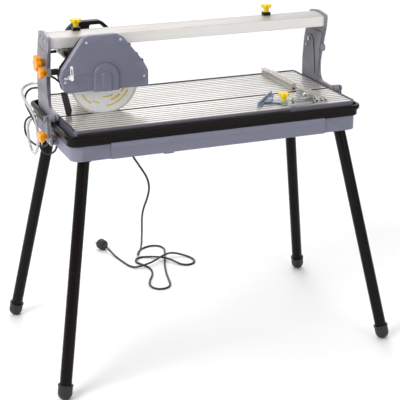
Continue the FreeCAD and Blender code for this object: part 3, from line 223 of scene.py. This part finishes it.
def rail_face(name, front, top):
    """Anodised rail, drawn along x: a bright front and a darker top, the top's darkness being painted shade.
    """
    shader = Shader(name)
    coordinates = shader.tree.nodes.new("ShaderNodeTexCoord")
    split = shader.tree.nodes.new("ShaderNodeSeparateXYZ")
    shader.link(coordinates.outputs["Normal"], split.inputs[0])
    # Painted shade: faces turned upward take the darker top colour.
    top_shade_mask = shader.ramp(split.outputs["Z"], [(0.4, 0.0), (0.8, 1.0)])
    lines = shader.noise(1.0, 3.0, (3, 900, 900), 0.65)
    body = shader.mix(top_shade_mask, front, top)
    body = shader.mix(1.0, body, shader.ramp(lines, [(0.3, 0.95), (0.7, 1.0)]), "MULTIPLY")
    shader.bump(lines, 0.1, 0.0002, edge=0.0004)
    gloss = shader.ramp(shader.noise(6.0, 4.0, (0.6, 4, 4)), [(0.3, 0.38), (0.7, 0.5)])
    return shader.finish(body, gloss, Metallic=0.15)


def cast_metal(name, colour, shine=0.42):
    """Die-cast, lightly blasted metal."""
    shader = Shader(name)
    body = shader.ramp(shader.noise(60.0, 5.0), [(0.3, tinted(colour, 0.85)), (0.7, tinted(colour, 1.1))])
    body = shader.mix(shader.edges(), body, tinted(colour, 1.3))
    shader.bump(shader.noise(700.0, 3.0), 0.25, 0.0004, edge=0.0006)
    return shader.finish(body, shine, Metallic=0.55)


def plated(name, colour, shine=0.16):
    """Zinc or chrome plating with faint haze."""
    shader = Shader(name)
    body = shader.ramp(shader.noise(120.0, 3.0), [(0.3, tinted(colour, 0.93)), (0.7, tinted(colour, 1.03))])
    gloss = shader.ramp(shader.noise(80.0, 4.0), [(0.3, shine - 0.05), (0.7, shine + 0.08)])
    shader.bump(shader.noise(300.0, 2.0), 0.05, 0.0002, edge=0.0004)
    return shader.finish(body, gloss, Metallic=1.0)


def rubber(name, colour, grain=500.0, shine=0.55):
    shader = Shader(name)
    body = shader.ramp(shader.noise(25.0, 4.0), [(0.3, tinted(colour, 0.8)), (0.75, tinted(colour, 1.35))])
    shader.bump(shader.noise(grain, 3.0), 0.2, 0.0003, edge=0.0006)
    gloss = shader.ramp(shader.noise(18.0, 3.0), [(0.3, shine - 0.08), (0.7, shine + 0.1)])
    return shader.finish(body, gloss)


def clear_vinyl(name):
    """Slightly cloudy clear hose wall."""
    shader = Shader(name)
    body = shader.ramp(shader.noise(90.0, 3.0), [(0.3, (0.58, 0.60, 0.61)), (0.7, (0.70, 0.72, 0.72))])
    shader.bump(shader.noise(220.0, 2.0), 0.06, 0.0003)
    return shader.finish(body, 0.12, IOR=1.48, Transmission_Weight=0.25, Coat_Weight=0.4)


RINGS_PER_METRE = 2600.0
GRIT_START = 0.0945


def blade_face(name):
    """Ground, pale lacquered blade core with faint turning rings about the blade's own axis."""
    shader = Shader(name)
    centre = sum(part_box("blade"), Vector()) / 2
    offset = shader.tree.nodes.new("ShaderNodeVectorMath")
    offset.operation = "SUBTRACT"
    offset.inputs[1].default_value = centre
    shader.link(shader.place, offset.inputs[0])
    radius = shader.tree.nodes.new("ShaderNodeVectorMath")
    radius.operation = "LENGTH"
    shader.link(offset.outputs["Vector"], radius.inputs[0])
    distance = radius.outputs["Value"]
    rings = shader.maths("SINE", shader.maths("MULTIPLY", distance, RINGS_PER_METRE), 0.0)
    shader.bump(rings, 0.05, 0.0001)
    core = shader.ramp(shader.noise(70.0, 3.0), [(0.3, (0.80, 0.81, 0.84)), (0.7, (0.88, 0.88, 0.90))])
    grit = shader.ramp(shader.noise(1500.0, 2.0), [(0.35, (0.55, 0.45, 0.32)), (0.7, (0.78, 0.70, 0.58))])
    body = shader.mix(shader.maths("GREATER_THAN", distance, GRIT_START), core, grit)
    return shader.finish(body, 0.32, Metallic=0.15)


PURPLE_GREY = (0.143, 0.145, 0.198)
MATERIALS = {
    "black_enamel": powder_coat("black_enamel_look", (0.0055, 0.0042, 0.0038), 0.22, ior=1.2),
    "grey_enamel": powder_coat("grey_enamel_look", (0.160, 0.152, 0.185), 0.34),
    "tray_plastic": plastic("tray_plastic_look", PURPLE_GREY, 700.0, 0.40),
    "guard_plastic": plastic("guard_plastic_look", (0.145, 0.148, 0.205), 900.0, 0.32),
    "plate_aluminium": drawn_metal("plate_aluminium_look", (0.52, 0.50, 0.47), "y", 0.36, metal=0.65),
    # The rail's second colour is painted shade for its top.
    "rail_aluminium": rail_face("rail_aluminium_look", (0.82, 0.80, 0.78), (0.42, 0.395, 0.38)),
    "cast_aluminium": cast_metal("cast_aluminium_look", (0.72, 0.69, 0.66)),
    "zinc_steel": plated("zinc_steel_look", (0.62, 0.62, 0.63), 0.24),
    "blade_steel": blade_face("blade_steel_look"),
    "chrome": plated("chrome_look", (0.86, 0.86, 0.87), 0.08),
    "black_plastic": plastic("black_plastic_look", (0.0065, 0.005, 0.0045), 800.0, 0.20, 2.0, 0.05, 1.2),
    "black_rubber": rubber("black_rubber_look", (0.014, 0.013, 0.013)),
    "cord_rubber": rubber("cord_rubber_look", (0.013, 0.012, 0.012), 900.0, 0.40),
    "clear_hose": clear_vinyl("clear_hose_look"),
    "yellow_plastic": plastic("yellow_plastic_look", (0.86, 0.60, 0.004), 900.0, 0.28, 1.15, 0.06),
    "amber_plastic": plastic("amber_plastic_look", (0.90, 0.33, 0.002), 900.0, 0.28, 1.15, 0.06),
    "blue_enamel": powder_coat("blue_enamel_look", (0.26, 0.31, 0.38), 0.36),
    "red_plastic": plastic("red_plastic_look", (0.42, 0.012, 0.010), 900.0, 0.25, 1.2, 0.05),
}


PLATE_METAL = (0.84, 0.82, 0.79)
NODE_LOOKS = {
    "front_table_plate": grooved_plate("front_table_plate", PLATE_METAL),
    "rear_table_plate": grooved_plate("rear_table_plate", PLATE_METAL),
    "stop_plate": plated("stop_plate_look", (0.46, 0.46, 0.46), 0.38),
    "table_frame": powder_coat("table_frame_look", (0.095, 0.09, 0.125), 0.34),
}


def dress_nodes():
    """Give every carried-over node its procedural material."""
    slots = {part["node"]: part["material_slot"] for part in frame["record"]["subparts"]}
    for name, node in NODES.items():
        node.data.materials.clear()
        node.data.materials.append(NODE_LOOKS.get(name, MATERIALS[slots[name]]))


dress_nodes()


# ---------------------------------------------------------------- camera, light and floor
FRONT_WHITE = 0.22
BACK_WHITE = 0.92
FLOOR_REACH = 9.0


def add_camera():
    data = bpy.data.cameras.new("camera")
    data.sensor_width = 36.0
    data.lens = 103.79
    camera = bpy.data.objects.new("camera", data)
    camera.location = (-1.2162, -3.0619, 1.6338)
    camera.rotation_euler = (math.radians(90 - 20.18), 0, math.radians(-21.94))
    bpy.context.scene.collection.objects.link(camera)
    bpy.context.scene.camera = camera


def add_area_light(name, place, aim, size, watts):
    data = bpy.data.lights.new(name, "AREA")
    data.shape = "DISK"
    data.size = size
    data.energy = watts
    lamp = bpy.data.objects.new(name, data)
    lamp.location = place
    lamp.rotation_euler = (Vector(aim) - Vector(place)).to_track_quat("-Z", "Y").to_euler()
    bpy.context.scene.collection.objects.link(lamp)


def add_studio():
    """White cyclorama: bright behind the object, dimmer in front of it, with a key light from the left."""
    world = bpy.data.worlds.new("studio")
    world.use_nodes = True
    bpy.context.scene.world = world
    nodes = world.node_tree.nodes
    links = world.node_tree.links
    split = nodes.new("ShaderNodeSeparateXYZ")
    links.new(nodes.new("ShaderNodeTexCoord").outputs["Generated"], split.inputs[0])
    depth = nodes.new("ShaderNodeMapRange")
    limits = {"From Min": -0.5, "From Max": 0.5, "To Min": FRONT_WHITE, "To Max": BACK_WHITE}
    for socket, value in limits.items():
        depth.inputs[socket].default_value = value
    links.new(split.outputs["Y"], depth.inputs["Value"])
    links.new(depth.outputs["Result"], nodes["Background"].inputs["Strength"])
    nodes["Background"].inputs["Color"].default_value = (1.0, 1.0, 1.0, 1)
    middle = (0.0, 0.0, 0.7)
    add_area_light("key", (-3.0, -1.3, 2.8), middle, 2.0, 95)
    add_area_light("fill", (1.6, -3.2, 1.6), middle, 2.6, 30)
    add_area_light("top", (0.3, 0.5, 3.4), middle, 2.6, 26)
    add_area_light("back_wash", (1.8, 7.5, 6.0), (1.9, 6.0, 0.0), 5.0, 300)

    mesh = bpy.data.meshes.new("floor")
    corners = [(side_x * FLOOR_REACH, side_y * FLOOR_REACH, 0) for side_x, side_y in
               ((-1, -1), (1, -1), (1, 1), (-1, 1))]
    mesh.from_pydata(corners, [], [(0, 1, 2, 3)])
    floor = bpy.data.objects.new("floor", mesh)
    bpy.context.scene.collection.objects.link(floor)
    shader = Shader("floor_look")
    shade = shader.ramp(shader.noise(3.0, 4.0), [(0.3, 0.93), (0.7, 0.95)])
    mesh.materials.append(shader.finish(shade, 0.75))
    bpy.context.scene.view_settings.view_transform = "Standard"


add_camera()
add_studio()


# ---------------------------------------------------------------- cords
def millimetres(points):
    return [Vector(point) / 1000 for point in points]


def route_curve(name, points):
    """A bare curve along the route: a quadratic spline with the route's points as its control points."""
    data = bpy.data.curves.new(name, "CURVE")
    data.dimensions = "3D"
    data.resolution_u = 12
    spline = data.splines.new("NURBS")
    spline.points.add(len(points) - 1)
    for control, point in zip(spline.points, points):
        control.co = (*point, 1)
    spline.order_u = 3
    spline.use_endpoint_u = True
    curve = bpy.data.objects.new(name, data)
    bpy.context.scene.collection.objects.link(curve)
    return curve


def route_points(name, points):
    """The points that the route's spline passes through, as a mesh tube or a rope follows them."""
    curve = route_curve(name + "_line", points)
    mesh = bpy.data.meshes.new_from_object(curve)
    line = [vertex.co.copy() for vertex in mesh.vertices]
    bpy.data.objects.remove(curve)
    return line


def mesh_tube(name, line, radius, material, sides=14):
    """Tube mesh around a line of points, with a frame that doesn't twist, and flat end caps."""
    tangents = []
    for index in range(len(line)):
        before = line[max(index - 1, 0)]
        after = line[min(index + 1, len(line) - 1)]
        tangents.append((after - before).normalized())
    side = tangents[0].orthogonal().normalized()
    vertices = []
    for point, tangent in zip(line, tangents):
        side = (side - tangent * side.dot(tangent)).normalized()
        up = tangent.cross(side)
        for step in range(sides):
            angle = math.tau * step / sides
            vertices.append(point + (side * math.cos(angle) + up * math.sin(angle)) * radius)
    faces = [tuple(reversed(range(sides)))]
    for ring in range(len(line) - 1):
        for step in range(sides):
            here = ring * sides + step
            ahead = ring * sides + (step + 1) % sides
            faces.append((here, ahead, ahead + sides, here + sides))
    faces.append(tuple((len(line) - 1) * sides + step for step in range(sides)))
    mesh = bpy.data.meshes.new(name)
    mesh.from_pydata(vertices, [], faces)
    for polygon in mesh.polygons:
        polygon.use_smooth = len(polygon.vertices) == 4
    mesh.materials.append(material)
    piece = bpy.data.objects.new(name, mesh)
    bpy.context.scene.collection.objects.link(piece)
    return piece


MAINS_RADIUS = 0.0035
LEAD_RADIUS = 0.003
HOSE_RADIUS = 0.004

# The same route points as the model's, in millimetres. LIE is the height of a cord's middle as it lies.
BOX_X, GLAND_Y, GLAND_TIP_Z, LIE = -150, 224, 626, 3.5
MAINS_ROUTE = millimetres([
    (BOX_X, GLAND_Y, GLAND_TIP_Z), (-149, 225, 594), (-139, 228, 552), (-119, 232, 508), (-92, 237, 466),
    (-67, 243, 426), (-57, 251, 386), (-62, 264, 345), (-69, 282, 308), (-66, 308, 266), (-53, 347, 213),
    (-36, 401, 155), (-17, 461, 99), (-4, 518, 55), (6, 564, 20), (14, 600, LIE), (29, 632, LIE),
    (54, 656, LIE), (88, 668, LIE), (118, 656, LIE), (127, 623, LIE), (115, 587, LIE), (101, 547, LIE),
    (84, 505, LIE), (69, 460, LIE), (56, 412, LIE), (45, 361, LIE), (36, 314, LIE), (17, 292, LIE),
    (-11, 291, LIE), (-31, 311, LIE), (-32, 343, LIE), (-16, 378, LIE), (5, 412, LIE), (17, 450, LIE),
    (15, 484, LIE), (3, 511, LIE), (-12, 537, LIE), (-7, 563, LIE), (15, 579, LIE), (42, 574, LIE),
    (63, 556, 7), (80, 535, 11.5), (103, 509, 11.5), (120, 484, 6), (131, 461, 4.5), (153, 449, LIE),
    (178, 457, LIE), (190, 481, LIE), (186, 511, LIE), (167, 536, 6), (142, 549, 12.5), (112, 542, 19.5),
    (72, 518, 19.5), (36, 499, 13), (-2, 487, 11.5), (-28, 493, 5), (-45, 516, LIE), (-52, 553, LIE),
    (-59, 591, LIE), (-65, 624, 5), (-71, 652, 12), (-78, 680, 19.2)])
MOTOR_LEAD_ROUTE = millimetres([
    (-419.5, 146.4, 773), (-420.5, 164, 774), (-430, 180, 773.5), (-447, 190, 769), (-461, 188, 756),
    (-467, 176, 740), (-467, 158, 725), (-462, 138, 709), (-456, 118, 691), (-451, 103, 670),
    (-449, 94, 648), (-448, 89, 630), (-448, 86, 612), (-435, 83, 598), (-417, 79, 598), (-404, 76, 611),
    (-403.5, 74, 632), (-404, 73, 656), (-405, 73, 682)])
PUMP_LEAD_ROUTE = millimetres([
    (-437, 171, 691), (-450, 172, 690.5), (-460, 176, 685.5), (-466, 183, 676), (-467, 193, 662),
    (-466, 202, 646), (-463, 206, 627), (-454, 198, 609), (-443, 183, 599), (-430, 166, 595),
    (-418, 150, 600), (-411, 138, 614), (-409, 129, 634), (-409, 124, 658), (-410, 121, 682)])
HOSE_ROUTE = millimetres([
    (-419.5, 146.8, 785), (-420, 161.6, 787), (-427.6, 175.7, 788), (-441.5, 184, 787),
    (-457.5, 184.3, 783), (-471.5, 176.5, 777), (-479, 163, 769), (-479, 144, 758), (-475, 125, 746),
    (-468, 108, 731), (-461, 94, 712), (-458, 85, 690), (-457, 80, 666), (-457, 80, 642), (-458, 86, 619),
    (-459, 100, 600), (-460, 120, 589), (-461, 142, 591), (-462, 159, 604), (-463, 169, 623),
    (-465, 168, 644), (-466.5, 161, 661), (-464.5, 155, 676), (-456.5, 153.3, 688), (-444, 152.6, 695.5),
    (-429, 152.5, 696)])
HEAD_LEAD_ROUTE = millimetres([
    (-423.6, 90, 829), (-411, 89.5, 828), (-399, 85, 822), (-388, 77, 812), (-376, 69, 802),
    (-362, 63, 795), (-348, 60.5, 793), (-336, 60, 797.5), (-326.5, 60, 806.5)])


def add_mains_cord():
    curve = route_curve("mains_flex", MAINS_ROUTE)
    curve.data.bevel_depth = MAINS_RADIUS
    curve.data.bevel_resolution = 4
    curve.data.use_fill_caps = True
    curve.data.materials.append(MATERIALS["cord_rubber"])
    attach(curve, "base")
    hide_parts("mains_cord")


def add_hanging_cord(node, route, radius, look, bodies):
    """Mesh tube for a cord with both ends on the object: it rides one body, or is baked in place and left
    unattached when it spans two.
    """
    line = route_points(node, route)
    tube = mesh_tube(node + "_flex", line, radius, MATERIALS[look])
    if len(bodies) == 1:
        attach(tube, bodies[0])
    else:
        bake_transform(tube)
    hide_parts(node)


add_mains_cord()
add_hanging_cord("motor_lead", MOTOR_LEAD_ROUTE, LEAD_RADIUS, "cord_rubber", ["base", "arch"])
add_hanging_cord("water_hose", HOSE_ROUTE, HOSE_RADIUS, "clear_hose", ["base", "arch"])
add_hanging_cord("pump_lead", PUMP_LEAD_ROUTE, LEAD_RADIUS, "cord_rubber", ["base"])
add_hanging_cord("head_lead", HEAD_LEAD_ROUTE, LEAD_RADIUS, "cord_rubber", ["carriage", "arch"])


# ---------------------------------------------------------------- pieces on the bodies
def add_piece(name, vertices, faces, slot, body):
    """Flat-shaded mesh piece with the slot's look, riding on a body."""
    mesh = bpy.data.meshes.new(name)
    mesh.from_pydata(vertices, [], faces)
    mesh.materials.append(MATERIALS[slot])
    for polygon in mesh.polygons:
        polygon.use_smooth = False
    piece = bpy.data.objects.new(name, mesh)
    bpy.context.scene.collection.objects.link(piece)
    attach(piece, body)


def rounded_rectangle(half_x, half_y, radius, steps=6):
    """Corner-rounded outline about the origin, as (x, y) pairs."""
    outline = []
    for quarter, (side_x, side_y) in enumerate(((1, 1), (-1, 1), (-1, -1), (1, -1))):
        for step in range(steps + 1):
            angle = math.pi / 2 * (quarter + step / steps)
            outline.append((side_x * (half_x - radius) + radius * math.cos(angle),
                            side_y * (half_y - radius) + radius * math.sin(angle)))
    return outline


def swept_strip(name, outlines, heights, slot, body):
    """Open strip between two capped ends: one outline and one height for each point of its section."""
    count = len(outlines)
    turns = len(outlines[0])
    vertices = [(*outline[index], up) for index in range(turns) for outline, up in zip(outlines, heights)]
    faces = [tuple(reversed(range(count))), tuple(range((turns - 1) * count, turns * count))]
    for index in range(turns - 1):
        for step in range(count):
            after = (step + 1) % count
            faces.append((index * count + after, (index + 1) * count + after, (index + 1) * count + step,
                          index * count + step))
    add_piece(name, vertices, faces, slot, body)


FRAME_CORNER = 0.010


def add_table_trim():
    """Black rubber bead pressed over the raised rim of the table's frame: right side, back and left side."""
    frame_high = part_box("table_frame")[1]
    front_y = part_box("front_table_plate")[0].y
    top = frame_high.z
    profile = [(-0.0038, top + 0.0001), (-0.0038, top + 0.0004), (-0.0032, top + 0.0009),
               (-0.0006, top + 0.0009), (0.0004, top + 0.0004), (0.0004, top - 0.0016),
               (0.0001, top - 0.0018), (0.0001, top + 0.0001)]
    outlines = []
    for out, _ in profile:
        half_x = frame_high.x + out
        corners = rounded_rectangle(half_x, frame_high.y + out, FRAME_CORNER + out)
        outlines.append([(half_x, front_y)] + corners[:len(corners) // 2] + [(-half_x, front_y)])
    swept_strip("table_trim_bead", outlines, [up for _, up in profile], "black_rubber", "base")


def rounded_bar(name, low, high, radius, slot, body):
    """Straight bar along x between two corners, with its four long edges rounded."""
    middle_y = (low[1] + high[1]) / 2
    middle_z = (low[2] + high[2]) / 2
    section = rounded_rectangle((high[1] - low[1]) / 2, (high[2] - low[2]) / 2, radius, 3)
    count = len(section)
    vertices = [(x, middle_y + y, middle_z + z) for x in (low[0], high[0]) for y, z in section]
    faces = [tuple(reversed(range(count))), tuple(range(count, 2 * count))]
    for index in range(count):
        ahead = (index + 1) % count
        faces.append((index, ahead, ahead + count, index + count))
    add_piece(name, vertices, faces, slot, body)


def add_wall_shade_strip():
    """Black strip of painted shade between the frame's front wall and the lip, stopping short of the right
    end where the wall is left lit; it is not a real seal.
    """
    frame_low, frame_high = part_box("table_frame")
    lip_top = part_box("rim_frame")[1].z
    face_y = frame_low.y
    low = (frame_low.x + 0.008, face_y - 0.0026, lip_top - 0.006)
    high = (frame_high.x - 0.21, face_y + 0.0004, frame_high.z - 0.0085)
    rounded_bar("front_wall_shade_strip", low, high, 0.0008, "black_rubber", "base")


def add_post_strip():
    """Thin black tube laid along a dark curved line on the right post's inner face; what makes that line dark
    is not known.
    """
    panel_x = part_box("post_right")[0].x
    side_view = [(95, 884), (87.5, 883), (80, 880), (74.5, 875.5), (71, 869), (68, 857), (64, 838), (58, 801),
                 (52.5, 766)]
    line = [Vector((panel_x - 0.0004, y / 1000, z / 1000)) for y, z in side_view]
    strip = mesh_tube("post_strip", line, 0.0013, MATERIALS["black_rubber"], 8)
    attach(strip, "arch")


def add_blade_marks():
    """Plain printed arcs on the blade: inner radius, outer radius, first and last angle in degrees."""
    low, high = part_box("blade")
    centre = (low + high) / 2
    face_y = low.y - 0.00008
    arcs = [(0.074, 0.0780, -88, -28), (0.060, 0.0655, -74, -46), (0.060, 0.0655, -40, -20),
            (0.048, 0.0515, -98, -62), (0.0665, 0.0695, -122, -104), (0.074, 0.0780, -150, -122)]
    vertices = []
    faces = []
    for inner, outer, first, last in arcs:
        steps = max(int((last - first) / 3), 2)
        start = len(vertices)
        for step in range(steps + 1):
            angle = math.radians(first + (last - first) * step / steps)
            across, up = math.cos(angle), math.sin(angle)
            for radius in (inner, outer):
                vertices.append((centre.x + radius * across, face_y, centre.z + radius * up))
        for step in range(steps):
            here = start + 2 * step
            faces.append((here, here + 1, here + 3, here + 2))
    add_piece("blade_printed_arcs", vertices, faces, "yellow_plastic", "blade_set")


add_table_trim()
add_wall_shade_strip()
add_post_strip()
add_blade_marks()
